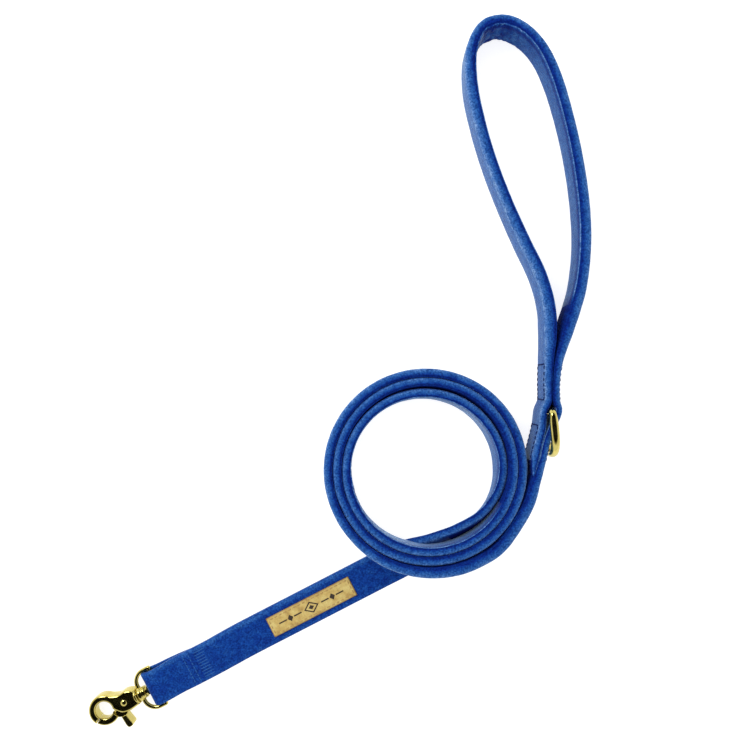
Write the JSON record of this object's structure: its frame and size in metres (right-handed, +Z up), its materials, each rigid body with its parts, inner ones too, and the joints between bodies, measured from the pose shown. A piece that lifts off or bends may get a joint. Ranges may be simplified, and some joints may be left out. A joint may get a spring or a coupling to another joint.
{
  "type": "velvet lead with trigger snap",
  "caption": "Velvet-covered flat strap with a sewn hand loop and a D-ring, wound on edge into a loose coil, with a stitched label and a swivelling trigger snap at its end.",
  "frame": {"origin": "middle of the part's footprint, on the plane it lies on", "axes": "+Z up out of that plane, +Y from the snap's side towards the far end of the hand loop, +X to the right when the hand loop is at the top"},
  "size_m": [0.2691, 0.3811, 0.0294],
  "materials": {
    "velvet": "short dense pile",
    "webbing": "flat woven",
    "label": "matt grained",
    "label_thread": "twisted thread",
    "blue_thread": "twisted thread",
    "gold": "polished",
    "spring": "bright"
  },
  "bodies": {
    "lead": {"handle_sleeve": "velvet", "handle_webbing": "webbing", "coil_sleeve": "velvet", "tail_sleeve": "velvet", "tail_webbing": "webbing", "fold_sleeve": "velvet", "fold_webbing": "webbing", "label": "label", "label_stitching": "label_thread", "neck_stitch_upper": "blue_thread", "neck_stitch_lower": "blue_thread", "tail_stitch": "blue_thread"},
    "handle_ring": {"d_ring": "gold"},
    "swivel": {"swivel_eye": "gold"},
    "hook": {"swivel_stud": "gold", "hook_body": "gold", "lever_pin": "gold", "lever_spring": "spring"},
    "lever": {"thumb_lever": "gold"}
  },
  "joints": [
    {"name": "ring_swing", "type": "hinge", "parent": "lead", "child": "handle_ring", "pos_m": [0.1129, -0.0192, 0.014], "axis": [0, 0, 1], "range_deg": [0, 145]},
    {"name": "eye_swing", "type": "hinge", "parent": "lead", "child": "swivel", "pos_m": [-0.09825, -0.16983, 0.0038], "axis": [0.4587, -0.8886, 0], "range_deg": [-80, 80]},
    {"name": "hook_swivel", "type": "hinge", "parent": "swivel", "child": "hook", "pos_m": [-0.1082, -0.17497, 0.0038], "axis": [-0.8886, -0.4587, 0], "continuous": true},
    {"name": "lever_pivot", "type": "hinge", "parent": "hook", "child": "lever", "pos_m": [-0.11532, -0.17797, 0.0038], "axis": [0, 0, 1], "range_deg": [0, 22], "stiffness_Nm_per_rad": 0.06, "springref_deg": -34.38, "deforming": ["lever_spring"]}
  ]
}
